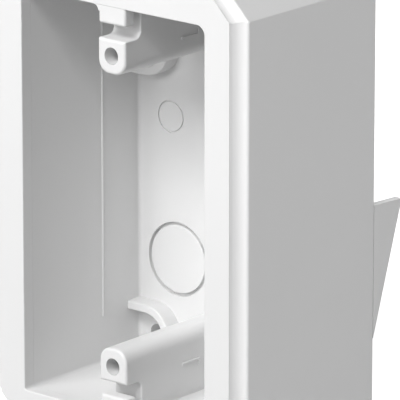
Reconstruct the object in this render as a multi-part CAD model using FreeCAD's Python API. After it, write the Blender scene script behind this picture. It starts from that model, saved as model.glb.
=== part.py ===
"""Deep single-gang surface box in white plastic, made in two halves.

A base is screwed to the wall: an inner box with knockouts in its back, four screw
holes with barriers round them, and two long posts for the device screws. A housing
drops over it: a raised front frame, four outer walls and two spurs at the rear.
Tabs on the frame hang over the posts, where the device's strap clamps them. The
housing pulls straight off towards the front.

The origin is the centre of the box on the wall plane. +Z is up, and the box
faces -Y. Depths are measured back from the front face, in millimetres.
"""
import FreeCAD, Part
import math
import os

# Device screws, which set the height of everything
device_screw_spacing = 83.34
device_hole_radius = 2.3
device_hole_depth = 32.0

# Front opening and the frame round it
opening_width = 62.0
screw_to_end_wall = 12.83
upper_corner_radius = 2.5
lower_corner_radius = 0.8
opening_edge_radius = 0.35
side_border = 12.0
end_border = 12.0
corner_chamfer = 9.5

# Depths
box_depth = 54.5
cavity_depth = 46.5
frame_thickness = 5.0
face_wall = 3.6

# Raised face: a cove runs down from it to the rim
face_height = 3.0
cove_width = 3.0
corner_cove_width = 2.1
cove_wall = 1.4
rim_radius = 0.7

# Outer walls of the housing
outer_wall = 2.2
outer_wall_rear_gap = 0.1
outer_edge_radius = 0.5
rear_edge_radius = 0.4
end_wall_lap = 2.0

# Walls of the inner box
cavity_wall = 2.0
foot_radius = 1.0
wall_rib_depth = 31.6
wall_rib_half_height = 41.6
wall_rib_width = 1.0
wall_rib_reach = 0.28

# Clearances between the housing and the base
slip_gap = 0.4
seat_gap = 0.05

# Tabs that the device's strap clamps
tab_width = 9.0
tab_reach = 4.7
tab_setback = 0.15
tab_root_radius = 1.5
tab_corner_radius = 0.6
tab_edge_radius = 0.8

# Spurs that stand out behind the side walls
spur_depth = 11.4
spur_height = 36.2
spur_top_z = -2.0
spur_top_drop = 0.5

# Device posts
post_width = 9.2
post_tip_reach = 4.9
post_corner_radius = 3.6
post_shelf_rise = 4.33
post_edge_radius = 0.8
web_edge_radius = 0.35
slot_radius = 2.0
slot_depth = 6.2

# Short ridge on both flanks of each post, measured from the screw towards the end wall
ridge_depth = 22.2
ridge_length = 7.0
ridge_height = 0.6
ridge_reach = 0.4
upper_ridge_rise = 1.1
lower_ridge_rise = 3.7
ridge_stop = 1.6

# Base plate and its rim
plate_thickness = 2.5
base_rim_wall = 2.0

# Wall screws, placed from the walls of the cavity, and the barriers round their heads
wall_screw_inset = 6.3
upper_wall_screw_drop = 21.4
lower_wall_screw_rise = 5.8
wall_screw_radius = 2.5
collar_radius = 5.0
barrier_height = 5.0
barrier_wall = 2.4
barrier_inner_radius = 6.0
barrier_edge_radius = 0.4
barrier_centre_offset = 0.3
barrier_centre_drop = 0.7

# Knockouts, placed from the side walls of the cavity
large_knockout_inset = 13.5
large_knockout_z = -26.6
large_knockout_radius = 10.3
large_knockout_groove = 0.9
large_knockout_score = 1.2
small_knockout_inset = 11.1
small_knockout_z = 12.5
small_knockout_radius = 4.5
small_knockout_groove = 0.45
small_knockout_score = 0.4
knockout_web = 0.7
knockout_edge_radius = 0.2

# Derived sizes
half_screw_spacing = device_screw_spacing / 2
half_opening_width = opening_width / 2
half_opening_height = half_screw_spacing + screw_to_end_wall
outer_half_width = half_opening_width + side_border
outer_half_height = half_opening_height + end_border
front_y = -box_depth
frame_back_y = front_y + frame_thickness
face_back_y = front_y + face_wall
floor_y = front_y + cavity_depth
plate_back_y = floor_y + plate_thickness
barrier_front_y = floor_y - barrier_height
wall_screw_x = half_opening_width - wall_screw_inset
upper_wall_screw_z = half_opening_height - upper_wall_screw_drop
lower_wall_screw_z = lower_wall_screw_rise - half_opening_height
barrier_centre_x = wall_screw_x + barrier_centre_offset

# reach spans the whole box; an edge is picked when it lies this near its place or direction
reach = 4 * outer_half_height
pick = 0.01
opening_pick = 0.1
parallel_share = 0.9
diagonal = math.sqrt(0.5)


def point(x, y, z):
    return FreeCAD.Vector(x, y, z)


def block(x0, x1, y0, y1, z0, z1):
    return Part.makeBox(x1 - x0, y1 - y0, z1 - z0, point(x0, y0, z0))


def prism_y(corners, y0, y1):
    """Extrude an outline of straight sides, drawn at y = 0, from y0 to y1."""
    face = Part.Face(Part.makePolygon(corners + corners[:1]))
    face.translate(point(0, y0, 0))
    return face.extrude(point(0, y1 - y0, 0))


def cylinder_y(x, z, radius, y0, y1):
    return Part.makeCylinder(radius, y1 - y0, point(x, y0, z), point(0, 1, 0))


def chamfered_prism(inset, y0, y1):
    """The box's eight-sided outline, drawn in by inset all round."""
    half_width = outer_half_width - inset
    half_height = outer_half_height - inset
    leg = corner_chamfer - inset * (2 - math.sqrt(2))
    x_in = half_width - leg
    z_in = half_height - leg
    corners = [
        point(half_width, 0, z_in),
        point(x_in, 0, half_height),
        point(-x_in, 0, half_height),
        point(-half_width, 0, z_in),
        point(-half_width, 0, -z_in),
        point(-x_in, 0, -half_height),
        point(x_in, 0, -half_height),
        point(half_width, 0, -z_in),
    ]
    return prism_y(corners, y0, y1)


def cavity_prism(grow, y0, y1):
    """The opening's outline, grown by grow all round: wide corners above, tight ones below."""
    half_width = half_opening_width + grow
    half_height = half_opening_height + grow
    solid = block(-half_width, half_width, y0, y1, -half_height, half_height)
    upper = [e for e in solid.Edges if is_along_y(e) and e.CenterOfMass.z > 0]
    solid = solid.makeFillet(upper_corner_radius + grow, upper)
    lower = [e for e in solid.Edges if is_along_y(e) and e.CenterOfMass.z < -half_height + pick]
    return solid.makeFillet(lower_corner_radius + grow, lower)


def mirror_x(shape):
    return shape.mirror(point(0, 0, 0), point(1, 0, 0))


def mirror_z(shape):
    return shape.mirror(point(0, 0, 0), point(0, 0, 1))


def cove_cutter(outer_distance, width, angle):
    """What one side's cove and rounded rim take off the front frame.

    The section is drawn for a side that faces +X, then turned about Y.
    """
    rim_x = outer_distance - rim_radius
    rim_y = front_y + face_height
    face_edge = point(rim_x - width, front_y, 0)
    cove_middle = point(rim_x - width * diagonal, front_y + face_height * diagonal, 0)
    cove_end = point(rim_x, rim_y, 0)
    round_middle = point(rim_x + rim_radius * diagonal, rim_y + rim_radius * (1 - diagonal), 0)
    round_end = point(outer_distance, rim_y + rim_radius, 0)
    clear_x = outer_distance + cove_width
    clear_y = front_y - face_height
    back_to_start = [
        round_end,
        point(clear_x, round_end.y, 0),
        point(clear_x, clear_y, 0),
        point(face_edge.x, clear_y, 0),
        face_edge,
    ]
    edges = [Part.Arc(face_edge, cove_middle, cove_end).toShape()]
    edges.append(Part.Arc(cove_end, round_middle, round_end).toShape())
    edges += [Part.makeLine(a, b) for a, b in zip(back_to_start, back_to_start[1:])]
    face = Part.Face(Part.Wire(edges))
    face.translate(point(0, 0, -reach / 2))
    cutter = face.extrude(point(0, 0, reach))
    cutter.rotate(point(0, 0, 0), point(0, 1, 0), angle)
    return cutter


def upper_tab():
    """The tab that hangs from the frame over the upper post's slot."""
    half_width = tab_width / 2
    tip_z = half_opening_height - tab_reach
    root_z = half_opening_height + tab_edge_radius
    tab_y = front_y + tab_setback
    tab = block(-half_width, half_width, tab_y, face_back_y, tip_z, root_z)
    tip_corners = [e for e in tab.Edges if is_along_y(e) and e.CenterOfMass.z < root_z - opening_pick]
    tab = tab.makeFillet(tab_corner_radius, tip_corners)
    front_edges = [e for e in tab.Edges if e.BoundBox.YMax < tab_y + pick]
    hanging = [e for e in front_edges if e.CenterOfMass.z < root_z - pick]
    tab = tab.makeFillet(tab_edge_radius, hanging)
    centre_x = -half_width - tab_root_radius
    centre_z = half_opening_height - tab_root_radius
    root = block(centre_x, -half_width + tab_edge_radius, tab_y, face_back_y, centre_z, root_z)
    root = root.cut(cylinder_y(centre_x, centre_z, tab_root_radius, tab_y, face_back_y))
    return tab.fuse(root)


def front_frame():
    """Raised face, cove, rim and the two screw tabs, all one ring."""
    frame = chamfered_prism(0, front_y, frame_back_y)
    corner_distance = (outer_half_width + outer_half_height - corner_chamfer) * diagonal
    for angle in (0, 180):
        frame = frame.cut(cove_cutter(outer_half_width, cove_width, angle))
    for angle in (90, 270):
        frame = frame.cut(cove_cutter(outer_half_height, cove_width, angle))
    for angle in (45, 135, 225, 315):
        frame = frame.cut(cove_cutter(corner_distance, corner_cove_width, angle))
    corners = [e for e in frame.Edges if is_along_y(e) and e.BoundBox.YMax > frame_back_y - pick]
    frame = frame.makeFillet(outer_edge_radius, corners)
    recess_inset = rim_radius + cove_width + cove_wall
    frame = frame.cut(chamfered_prism(recess_inset, face_back_y, frame_back_y))
    frame = frame.cut(cavity_prism(0, front_y, face_back_y))
    inside = [e for e in frame.Edges if is_opening_edge(e)]
    frame = frame.makeFillet(opening_edge_radius, inside)
    return frame.fuse([upper_tab(), mirror_z(upper_tab())]).removeSplitter()


def is_along_y(edge):
    return abs(edge.tangentAt(edge.FirstParameter).y) > parallel_share


def is_opening_edge(edge):
    """True for the edges that bound the opening on the front face."""
    box = edge.BoundBox
    on_face = abs(box.YMin - front_y) < pick and abs(box.YMax - front_y) < pick
    inside = max(box.XMax, -box.XMin) < half_opening_width + opening_pick
    return on_face and inside and abs(box.ZMin) < half_opening_height + opening_pick


def outer_tube():
    """The outer walls in one piece, with their long corners and rear edge eased."""
    rear_y = -outer_wall_rear_gap
    tube = chamfered_prism(0, frame_back_y, rear_y)
    tube = tube.makeFillet(outer_edge_radius, [e for e in tube.Edges if is_along_y(e)])
    tube = tube.makeFillet(rear_edge_radius, [e for e in tube.Edges if e.BoundBox.YMin > rear_y - pick])
    return tube.cut(chamfered_prism(outer_wall, frame_back_y, rear_y))


def outer_walls():
    """The four outer walls behind the frame; the end walls carry the chamfers."""
    tube = outer_tube()
    split_z = outer_half_height - corner_chamfer - end_wall_lap
    right = tube.common(block(0, reach, frame_back_y, 0, -split_z, split_z))
    top = tube.common(block(-reach, reach, frame_back_y, 0, split_z, reach))
    return {
        "right_outer_wall": right,
        "left_outer_wall": mirror_x(right),
        "top_outer_wall": top,
        "bottom_outer_wall": mirror_z(top),
    }


def cavity():
    """The space inside the inner box, with its rear edges rounded to leave a foot."""
    space = cavity_prism(0, front_y, floor_y)
    rear_edges = [e for e in space.Edges if e.BoundBox.YMin > floor_y - pick]
    return space.makeFillet(foot_radius, rear_edges)


def cavity_walls():
    """The four walls of the inner box, each with a rounded foot on the plate."""
    start_y = face_back_y + seat_gap
    tube = cavity_prism(cavity_wall, start_y, floor_y).cut(cavity())
    upper_z = half_opening_height - upper_corner_radius
    lower_z = lower_corner_radius - half_opening_height
    right = tube.common(block(0, reach, start_y, floor_y, lower_z, upper_z))
    return {
        "right_cavity_wall": right,
        "left_cavity_wall": mirror_x(right),
        "top_cavity_wall": tube.common(block(-reach, reach, start_y, floor_y, upper_z, reach)),
        "bottom_cavity_wall": tube.common(block(-reach, reach, start_y, floor_y, -reach, lower_z)),
    }


def right_wall_rib():
    """A slim half-round rib that stands upright on the cavity's side wall."""
    half_width = wall_rib_width / 2
    centre_y = front_y + wall_rib_depth
    start = point(half_opening_width, centre_y - half_width, 0)
    crest = point(half_opening_width - wall_rib_reach, centre_y, 0)
    end = point(half_opening_width, centre_y + half_width, 0)
    outline = Part.Wire([Part.Arc(start, crest, end).toShape(), Part.makeLine(end, start)])
    face = Part.Face(outline)
    face.translate(point(0, 0, -wall_rib_half_height))
    return face.extrude(point(0, 0, 2 * wall_rib_half_height))


def right_spur():
    """A pointed fin in the plane of the side wall, behind its rear edge."""
    rear_y = -outer_wall_rear_gap
    corners = [
        point(0, rear_y, spur_top_z),
        point(0, spur_depth, spur_top_z - spur_top_drop),
        point(0, rear_y, spur_top_z - spur_height),
    ]
    face = Part.Face(Part.makePolygon(corners + corners[:1]))
    face.translate(point(outer_half_width - outer_wall, 0, 0))
    return face.extrude(point(outer_wall, 0, 0))


def upper_post(ridge_rise):
    """A long post with two round inner corners, a shelf in front and a web behind the slot."""
    half_width = post_width / 2
    tip_z = half_screw_spacing - post_tip_reach
    shelf_z = half_screw_spacing + post_shelf_rise
    slot_y = front_y + slot_depth
    post = block(-half_width, half_width, front_y, floor_y, tip_z, half_opening_height)
    tip_corners = [e for e in post.Edges if is_along_y(e) and e.CenterOfMass.z < tip_z + pick]
    post = post.makeFillet(post_corner_radius, tip_corners).common(cavity())
    slot = block(-reach, reach, front_y - reach, slot_y, shelf_z, reach)
    hollow = [e for e in slot.Edges if abs(e.CenterOfMass.y - slot_y) < pick
              and abs(e.CenterOfMass.z - shelf_z) < pick]
    post = post.cut(slot.makeFillet(slot_radius, hollow))
    rim = [e for e in post.Edges if abs(e.BoundBox.YMax - front_y) < pick]
    post = post.makeFillet(post_edge_radius, rim)
    web_edges = [e for e in post.Edges if is_web_edge(e, slot_y, shelf_z)]
    post = post.makeFillet(web_edge_radius, web_edges)
    hole = cylinder_y(0, half_screw_spacing, device_hole_radius, front_y, front_y + device_hole_depth)
    post = post.cut(hole)
    ridge_z = half_screw_spacing + ridge_rise
    return post.fuse([flank_ridge(-1, ridge_z), flank_ridge(1, ridge_z)]).removeSplitter()


def is_web_edge(edge, slot_y, shelf_z):
    """True for the two edges where the slot's floor and back meet the post's flanks."""
    box = edge.BoundBox
    on_flank = box.XMax - box.XMin < pick and abs(edge.CenterOfMass.x) > post_width / 2 - pick
    in_slot = box.ZMin > shelf_z - pick and box.YMax < slot_y + pick
    return on_flank and in_slot and box.YMin > front_y + post_edge_radius - pick


def flank_ridge(side, ridge_z):
    """A short low ridge along the flank, with an upright stop at its rear end."""
    inner = side * (post_width / 2 - ridge_reach)
    outer = side * (post_width / 2 + ridge_reach)
    start_y = front_y + ridge_depth
    end_y = start_y + ridge_length
    low, high = sorted((inner, outer))
    line = block(low, high, start_y, end_y, ridge_z - ridge_height / 2, ridge_z + ridge_height / 2)
    stop = block(low, high, end_y - ridge_height, end_y, ridge_z - ridge_height / 2, ridge_z + ridge_stop)
    return line.fuse(stop)


def base_plate():
    """The back plate, pierced for the wall screws and scored on both faces round the knockouts."""
    plate = chamfered_prism(outer_wall + slip_gap, floor_y, plate_back_y)
    for x, z in wall_screw_places().values():
        plate = plate.cut(cylinder_y(x, z, wall_screw_radius, floor_y, plate_back_y))
    for x, z, radius, groove, score in knockout_places().values():
        web_front_y = floor_y + score
        plate = plate.cut(cylinder_y(x, z, radius - groove, floor_y, plate_back_y))
        plate = plate.cut(cylinder_y(x, z, radius, floor_y, web_front_y))
        plate = plate.cut(cylinder_y(x, z, radius, web_front_y + knockout_web, plate_back_y))
    return plate


def base_rim():
    """The rim that holds the plate off the wall."""
    inset = outer_wall + slip_gap
    outer = chamfered_prism(inset, plate_back_y, 0)
    return outer.cut(chamfered_prism(inset + base_rim_wall, plate_back_y, 0))


def wall_screw_places():
    places = {}
    for side, sign in (("left", -1), ("right", 1)):
        places["upper_" + side] = (sign * wall_screw_x, upper_wall_screw_z)
        places["lower_" + side] = (sign * wall_screw_x, lower_wall_screw_z)
    return places


def knockout_places():
    """Each knockout's centre, its outer radius, and the width and front depth of its groove."""
    large_x = half_opening_width - large_knockout_inset
    small_x = half_opening_width - small_knockout_inset
    places = {}
    for side, sign in (("left", -1), ("right", 1)):
        places["large_knockout_" + side] = (
            sign * large_x, large_knockout_z,
            large_knockout_radius, large_knockout_groove, large_knockout_score)
        places["small_knockout_" + side] = (
            sign * small_x, small_knockout_z,
            small_knockout_radius, small_knockout_groove, small_knockout_score)
    return places


def knockout_slug(x, z, radius):
    """The round piece that breaks out, with its front edge eased."""
    slug = cylinder_y(x, z, radius, floor_y, plate_back_y)
    front_edge = [e for e in slug.Edges if e.BoundBox.YMax < floor_y + pick]
    return slug.makeFillet(knockout_edge_radius, front_edge)


def screw_collar(x, z):
    """A tube behind the plate that takes the wall screw's pull to the wall."""
    collar = cylinder_y(x, z, collar_radius, plate_back_y, 0)
    return collar.cut(cylinder_y(x, z, wall_screw_radius, plate_back_y, 0))


def barrier_ring(centre_z):
    """A ring of the barrier's section, round the middle of its bend."""
    outer = cylinder_y(barrier_centre_x, centre_z, barrier_inner_radius + barrier_wall,
                       barrier_front_y, floor_y)
    return outer.cut(cylinder_y(barrier_centre_x, centre_z, barrier_inner_radius,
                                barrier_front_y, floor_y))


def barrier_run(z_sign, centre_z):
    """The straight stretch from the bend to the side wall's foot."""
    near = centre_z + z_sign * barrier_inner_radius
    far = near + z_sign * barrier_wall
    return block(barrier_centre_x, half_opening_width, barrier_front_y, floor_y,
                 min(near, far), max(near, far))


def eased_barrier(barrier):
    """Trim the barrier to the cavity and round its long front edges."""
    barrier = barrier.common(cavity())
    long_edges = []
    for edge in barrier.Edges:
        box = edge.BoundBox
        at_front = abs(box.YMax - barrier_front_y) < pick
        at_end = box.XMin > half_opening_width - pick or box.ZMax < pick - half_opening_height
        if at_front and not at_end:
            long_edges.append(edge)
    return barrier.makeFillet(barrier_edge_radius, long_edges)


def lower_right_barrier():
    """A wall that bends round the lower screw and runs down to the bottom wall."""
    centre_z = lower_wall_screw_z + barrier_centre_drop
    inner_x = barrier_centre_x - barrier_inner_radius
    quarter = block(-reach, barrier_centre_x, barrier_front_y, floor_y, centre_z, reach)
    bend = barrier_ring(centre_z).common(quarter)
    leg = block(inner_x - barrier_wall, inner_x, barrier_front_y, floor_y, -half_opening_height, centre_z)
    return eased_barrier(bend.fuse([barrier_run(1, centre_z), leg]).removeSplitter())


def upper_right_barrier():
    """A wall that bends round the upper screw, back to the side wall."""
    centre_z = upper_wall_screw_z - barrier_centre_drop
    half = block(-reach, barrier_centre_x, barrier_front_y, floor_y, -reach, reach)
    bend = barrier_ring(centre_z).common(half)
    runs = [barrier_run(1, centre_z), barrier_run(-1, centre_z)]
    return eased_barrier(bend.fuse(runs).removeSplitter())


def build_parts():
    parts = {"front_frame": front_frame()}
    parts.update(outer_walls())
    parts["right_spur"] = right_spur()
    parts["left_spur"] = mirror_x(parts["right_spur"])
    parts["base_plate"] = base_plate()
    parts["base_rim"] = base_rim()
    parts.update(cavity_walls())
    parts["right_wall_rib"] = right_wall_rib()
    parts["left_wall_rib"] = mirror_x(parts["right_wall_rib"])
    parts["upper_device_post"] = upper_post(upper_ridge_rise)
    parts["lower_device_post"] = mirror_z(upper_post(lower_ridge_rise))
    parts["upper_right_screw_barrier"] = upper_right_barrier()
    parts["upper_left_screw_barrier"] = mirror_x(parts["upper_right_screw_barrier"])
    parts["lower_right_screw_barrier"] = lower_right_barrier()
    parts["lower_left_screw_barrier"] = mirror_x(parts["lower_right_screw_barrier"])
    for corner, (x, z) in wall_screw_places().items():
        parts[corner + "_screw_collar"] = screw_collar(x, z)
    for name, (x, z, radius, groove, _) in knockout_places().items():
        parts[name] = knockout_slug(x, z, radius - groove)
    return parts


os.makedirs("parts", exist_ok=True)
for node, shape in build_parts().items():
    if len(shape.Solids) != 1 or not shape.isValid():
        raise ValueError(node + " is not one valid solid")
    shape.Solids[0].exportStep("parts/" + node + ".step")
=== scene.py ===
"""Looks of a deep white plastic surface box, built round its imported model."""
import math

import bpy
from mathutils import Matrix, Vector


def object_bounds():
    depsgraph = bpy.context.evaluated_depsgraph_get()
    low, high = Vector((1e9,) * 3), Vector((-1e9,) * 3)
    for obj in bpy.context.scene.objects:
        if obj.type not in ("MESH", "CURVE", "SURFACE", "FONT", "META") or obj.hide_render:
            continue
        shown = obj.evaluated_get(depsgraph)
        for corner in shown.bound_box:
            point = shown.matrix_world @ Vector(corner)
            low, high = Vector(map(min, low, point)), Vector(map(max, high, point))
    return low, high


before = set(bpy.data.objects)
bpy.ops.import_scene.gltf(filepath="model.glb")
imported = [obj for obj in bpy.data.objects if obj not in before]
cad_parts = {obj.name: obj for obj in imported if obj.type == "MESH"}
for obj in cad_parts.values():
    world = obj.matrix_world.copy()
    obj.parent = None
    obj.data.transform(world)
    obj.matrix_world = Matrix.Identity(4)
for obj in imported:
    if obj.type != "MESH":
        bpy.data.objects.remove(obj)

cad_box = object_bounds()
scene = bpy.context.scene

# ---------------------------------------------------------------------------
# Front frame. The raised face, cove and rim of the housing, with its two tabs.
# White ABS from a polished tool: satin, with a very fine grain, a slow waviness
# where the wall shrank, and a trace of cloudiness.
# ---------------------------------------------------------------------------
mm = 0.001
cloud_size = 36 * mm
skin_wave_size = 9 * mm
draw_mark_width = 0.9 * mm
draw_mark_squeeze = 0.03
smooth_detail = 1.0
fine_detail = 2.0
cloud_detail = 3.0
plastic_ior = 1.5
housing_white = (0.74, 0.74, 0.74)


def new_group(name, inputs, outputs):
    """A shader node group; inputs are (name, socket type, value), outputs (name, socket type)."""
    group = bpy.data.node_groups.new(name, "ShaderNodeTree")
    for socket_name, kind, value in inputs:
        socket = group.interface.new_socket(socket_name, in_out="INPUT", socket_type=kind)
        socket.default_value = value
    for socket_name, kind in outputs:
        group.interface.new_socket(socket_name, in_out="OUTPUT", socket_type=kind)
    return group


def calculate(tree, operation, *values):
    """The result of a Math node; each value is a number or the socket that feeds it."""
    step = tree.nodes.new("ShaderNodeMath")
    step.operation = operation
    for socket, value in zip(step.inputs, values):
        if isinstance(value, bpy.types.NodeSocket):
            tree.links.new(value, socket)
        else:
            socket.default_value = value
    return step.outputs[0]


def noise(tree, place, frequency, detail):
    """Smooth noise about a half at a point; frequency is one over the size of its lumps."""
    texture = tree.nodes.new("ShaderNodeTexNoise")
    texture.inputs["Detail"].default_value = detail
    tree.links.new(place, texture.inputs["Vector"])
    if isinstance(frequency, bpy.types.NodeSocket):
        tree.links.new(frequency, texture.inputs["Scale"])
    else:
        texture.inputs["Scale"].default_value = frequency
    return texture.outputs["Fac"]


def moulded_surface():
    """Tone, gloss and height of a moulded skin, from object coordinates.

    The height is a mean of fine grain and a slow skin wave, plus draw marks:
    noise stretched along Y, the way both halves leave their tools. A cloud some
    centimetres across makes the tone and the gloss drift.
    """
    group = new_group(
        "moulded_surface",
        [
            ("Colour", "NodeSocketColor", (0.8, 0.8, 0.8, 1.0)),
            ("Tone Drift", "NodeSocketFloat", 0.03),
            ("Roughness", "NodeSocketFloat", 0.45),
            ("Gloss Drift", "NodeSocketFloat", 0.1),
            ("Grain Size", "NodeSocketFloat", 0.35 * mm),
            ("Grain Share", "NodeSocketFloat", 0.6),
            ("Draw Marks", "NodeSocketFloat", 0.0),
        ],
        [
            ("Colour", "NodeSocketColor"),
            ("Roughness", "NodeSocketFloat"),
            ("Height", "NodeSocketFloat"),
        ],
    )
    given = group.nodes.new("NodeGroupInput").outputs
    result = group.nodes.new("NodeGroupOutput").inputs
    place = group.nodes.new("ShaderNodeTexCoord").outputs["Object"]

    grain = noise(group, place, calculate(group, "DIVIDE", 1.0, given["Grain Size"]), fine_detail)
    wave = noise(group, place, 1 / skin_wave_size, smooth_detail)
    skin = group.nodes.new("ShaderNodeMix")
    group.links.new(given["Grain Share"], skin.inputs["Factor"])
    group.links.new(wave, skin.inputs["A"])
    group.links.new(grain, skin.inputs["B"])
    stretch = group.nodes.new("ShaderNodeMapping")
    stretch.inputs["Scale"].default_value = (1.0, draw_mark_squeeze, 1.0)
    group.links.new(place, stretch.inputs["Vector"])
    marks = noise(group, stretch.outputs["Vector"], 1 / draw_mark_width, fine_detail)
    height = calculate(group, "MULTIPLY_ADD", marks, given["Draw Marks"], skin.outputs["Result"])
    group.links.new(height, result["Height"])

    noise_middle = 0.5
    cloud = calculate(group, "SUBTRACT", noise(group, place, 1 / cloud_size, cloud_detail), noise_middle)
    gloss = calculate(group, "MULTIPLY_ADD", cloud, given["Gloss Drift"], given["Roughness"])
    group.links.new(gloss, result["Roughness"])
    tint = group.nodes.new("ShaderNodeVectorMath")
    tint.operation = "SCALE"
    group.links.new(given["Colour"], tint.inputs[0])
    tone = calculate(group, "MULTIPLY_ADD", cloud, given["Tone Drift"], 1.0)
    group.links.new(tone, tint.inputs["Scale"])
    group.links.new(tint.outputs[0], result["Colour"])
    return group


moulded_skin = moulded_surface()


def moulded_plastic(name, colour, grain_height, **surface_values):
    """White plastic over the moulded skin; surface values are the group's inputs by name."""
    material = bpy.data.materials.new(name)
    material.use_nodes = True
    tree = material.node_tree
    shader = tree.nodes["Principled BSDF"]
    shader.inputs["IOR"].default_value = plastic_ior
    skin = tree.nodes.new("ShaderNodeGroup")
    skin.node_tree = moulded_skin
    skin.inputs["Colour"].default_value = (*colour, 1.0)
    for socket_name, value in surface_values.items():
        skin.inputs[socket_name.replace("_", " ").title()].default_value = value
    bump = tree.nodes.new("ShaderNodeBump")
    bump.inputs["Distance"].default_value = grain_height
    tree.links.new(skin.outputs["Colour"], shader.inputs["Base Color"])
    tree.links.new(skin.outputs["Roughness"], shader.inputs["Roughness"])
    tree.links.new(skin.outputs["Height"], bump.inputs["Height"])
    tree.links.new(bump.outputs["Normal"], shader.inputs["Normal"])
    return material


def dress(material, *names):
    """Put a material on every slot of the named nodes."""
    for name in names:
        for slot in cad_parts[name].material_slots:
            slot.material = material


frame_plastic = moulded_plastic(
    "frame_satin_white", housing_white, grain_height=0.012 * mm,
    roughness=0.4, tone_drift=0.02,
)
dress(frame_plastic, "front_frame")

# ---------------------------------------------------------------------------
# Outer walls. The same shot of ABS as the frame, but these walls slide out of
# the tool, so they are a little rougher and carry faint marks front to back.
# ---------------------------------------------------------------------------
wall_plastic = moulded_plastic(
    "outer_wall_white", housing_white, grain_height=0.02 * mm,
    roughness=0.47, grain_size=0.4 * mm, grain_share=0.7, draw_marks=0.25,
)
dress(wall_plastic, "right_outer_wall", "left_outer_wall", "top_outer_wall", "bottom_outer_wall")

# ---------------------------------------------------------------------------
# Spurs. Thin fins at the rear edge of both side walls, moulded with them; the
# tool is not polished there, so their skin is the dullest of the housing.
# ---------------------------------------------------------------------------
spur_plastic = moulded_plastic(
    "spur_white", housing_white, grain_height=0.025 * mm,
    roughness=0.55, grain_size=0.45 * mm, grain_share=0.8, draw_marks=0.2,
)
dress(spur_plastic, "right_spur", "left_spur")

# ---------------------------------------------------------------------------
# Back plate and its rim. The base is a second moulding of the same white ABS.
# Its flat plate cools last, so the skin waves more and the tone is cloudier.
# ---------------------------------------------------------------------------
base_white = (0.735, 0.735, 0.735)
plate_plastic = moulded_plastic(
    "base_plate_white", base_white, grain_height=0.03 * mm,
    roughness=0.46, grain_size=0.4 * mm, grain_share=0.35, tone_drift=0.05,
)
dress(plate_plastic, "base_plate", "base_rim")

# ---------------------------------------------------------------------------
# Cavity walls and their ribs. Deep walls of the inner box, drawn straight off
# a core: smooth across, with fine marks along the draw and a softer gloss.
# ---------------------------------------------------------------------------
cavity_plastic = moulded_plastic(
    "cavity_wall_white", base_white, grain_height=0.022 * mm,
    roughness=0.5, grain_size=0.45 * mm, grain_share=0.5, draw_marks=0.35,
)
dress(
    cavity_plastic,
    "right_cavity_wall", "left_cavity_wall", "top_cavity_wall", "bottom_cavity_wall",
    "right_wall_rib", "left_wall_rib",
)

# ---------------------------------------------------------------------------
# Device posts. Long bosses, moulded on the base, that take the device screws.
# They are turned inserts of the tool, so their skin is smooth and brighter.
# ---------------------------------------------------------------------------
post_plastic = moulded_plastic(
    "device_post_white", base_white, grain_height=0.012 * mm,
    roughness=0.38, grain_size=0.3 * mm, draw_marks=0.15, tone_drift=0.02,
)
dress(post_plastic, "upper_device_post", "lower_device_post")

# ---------------------------------------------------------------------------
# Screw barriers and collars. Low walls round the wall screws in front of the
# plate, and tubes behind it; all are short ribs with a plain machined skin.
# ---------------------------------------------------------------------------
rib_plastic = moulded_plastic(
    "barrier_white", base_white, grain_height=0.018 * mm,
    roughness=0.44, grain_size=0.35 * mm, draw_marks=0.1,
)
for corner in ("upper_right", "upper_left", "lower_right", "lower_left"):
    dress(rib_plastic, corner + "_screw_barrier", corner + "_screw_collar")

# ---------------------------------------------------------------------------
# Knockouts. Round slugs held by a thin web until they are broken out. They are
# part of the same shot, with the flat, slightly glossier skin of a tool pin.
# ---------------------------------------------------------------------------
slug_plastic = moulded_plastic(
    "knockout_white", base_white, grain_height=0.015 * mm,
    roughness=0.4, grain_size=0.35 * mm, grain_share=0.4, tone_drift=0.04,
)
for side in ("right", "left"):
    dress(slug_plastic, "large_knockout_" + side, "small_knockout_" + side)

# ---------------------------------------------------------------------------
# Floor. A wide matt sheet of white paper under the box. To the camera it also
# glows a little, as an overlit studio sweep does; it throws no light of its own.
# ---------------------------------------------------------------------------
floor_gap = 0.2 * mm
floor_z = cad_box[0][2] - floor_gap
floor_half = 3.0
paper_white = 0.45
paper_roughness = 0.9
paper_glow = 0.92
floor_mesh = bpy.data.meshes.new("floor")
floor_corners = [
    (-floor_half, -floor_half, floor_z),
    (floor_half, -floor_half, floor_z),
    (floor_half, floor_half, floor_z),
    (-floor_half, floor_half, floor_z),
]
floor_mesh.from_pydata(floor_corners, [], [(0, 1, 2, 3)])
floor = bpy.data.objects.new("floor", floor_mesh)
scene.collection.objects.link(floor)
paper = bpy.data.materials.new("floor_paper")
paper.use_nodes = True
paper_shader = paper.node_tree.nodes["Principled BSDF"]
paper_shader.inputs["Base Color"].default_value = (paper_white, paper_white, paper_white, 1.0)
paper_shader.inputs["Roughness"].default_value = paper_roughness
paper_shader.inputs["Emission Color"].default_value = (1.0, 1.0, 1.0, 1.0)
paper_seen = paper.node_tree.nodes.new("ShaderNodeLightPath").outputs["Is Camera Ray"]
seen_glow = calculate(paper.node_tree, "MULTIPLY", paper_seen, paper_glow)
paper.node_tree.links.new(seen_glow, paper_shader.inputs["Emission Strength"])
floor_mesh.materials.append(paper)

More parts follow.
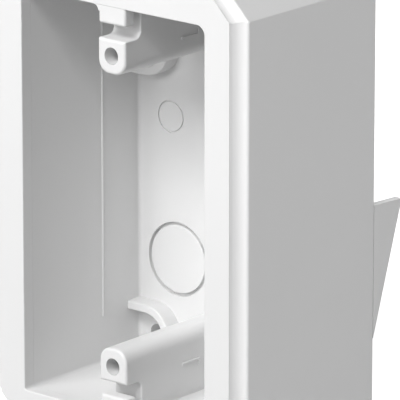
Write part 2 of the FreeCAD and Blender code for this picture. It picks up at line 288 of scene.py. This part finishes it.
# ---------------------------------------------------------------------------
# Light. A dim white room, a soft lamp low in front, a wide strip above it as the
# key, one lamp beside the right wall, and one behind that opens up the back.
# ---------------------------------------------------------------------------
room_light = 0.01
world = bpy.data.worlds.new("studio")
world.use_nodes = True
room = world.node_tree.nodes["Background"]
room.inputs["Color"].default_value = (1.0, 1.0, 1.0, 1.0)
room_seen = world.node_tree.nodes.new("ShaderNodeLightPath").outputs["Is Camera Ray"]
room_strength = calculate(world.node_tree, "MAXIMUM", room_seen, room_light)
world.node_tree.links.new(room_strength, room.inputs["Strength"])
scene.world = world

lamp_aim = Vector((0.0, -0.03, 0.0))
lamp_distance = 1.4


def soft_lamp(name, azimuth, elevation, width, height, power):
    """A rectangular lamp on a sphere round the box, facing it; azimuth turns from front to right."""
    turn, lift = math.radians(azimuth), math.radians(elevation)
    outward = Vector((
        math.sin(turn) * math.cos(lift),
        -math.cos(turn) * math.cos(lift),
        math.sin(lift),
    ))
    data = bpy.data.lights.new(name, "AREA")
    data.shape = "RECTANGLE"
    data.size = width
    data.size_y = height
    data.energy = power
    lamp = bpy.data.objects.new(name, data)
    lamp.location = lamp_aim + outward * lamp_distance
    lamp.rotation_euler = outward.to_track_quat("Z", "Y").to_euler()
    scene.collection.objects.link(lamp)


soft_lamp("front_lamp", azimuth=0, elevation=22, width=0.6, height=0.5, power=6.8)
soft_lamp("key_lamp", azimuth=2, elevation=46, width=1.2, height=0.4, power=20.2)
soft_lamp("side_lamp", azimuth=108, elevation=4, width=0.5, height=0.5, power=6.8)
soft_lamp("back_lamp", azimuth=215, elevation=25, width=0.8, height=0.8, power=9.0)

# ---------------------------------------------------------------------------
# Camera. A long lens from the front right and a little above, close enough to
# crop the top and the bottom of the box.
# ---------------------------------------------------------------------------
camera_azimuth = math.radians(40.35)
camera_elevation = math.radians(16.17)
camera_distance = 1.3763
camera_aim = Vector((0.01677, -0.03926, 0.00324))
lens_length = 481.2
sensor_width = 36.0
nearest_seen = 0.01
towards_camera = Vector((
    math.sin(camera_azimuth) * math.cos(camera_elevation),
    -math.cos(camera_azimuth) * math.cos(camera_elevation),
    math.sin(camera_elevation),
))
camera_data = bpy.data.cameras.new("camera")
camera_data.lens = lens_length
camera_data.sensor_width = sensor_width
camera_data.clip_start = nearest_seen
camera = bpy.data.objects.new("camera", camera_data)
camera.location = camera_aim + towards_camera * camera_distance
camera.rotation_euler = towards_camera.to_track_quat("Z", "Y").to_euler()
scene.collection.objects.link(camera)
scene.camera = camera
scene.view_settings.view_transform = "Standard"
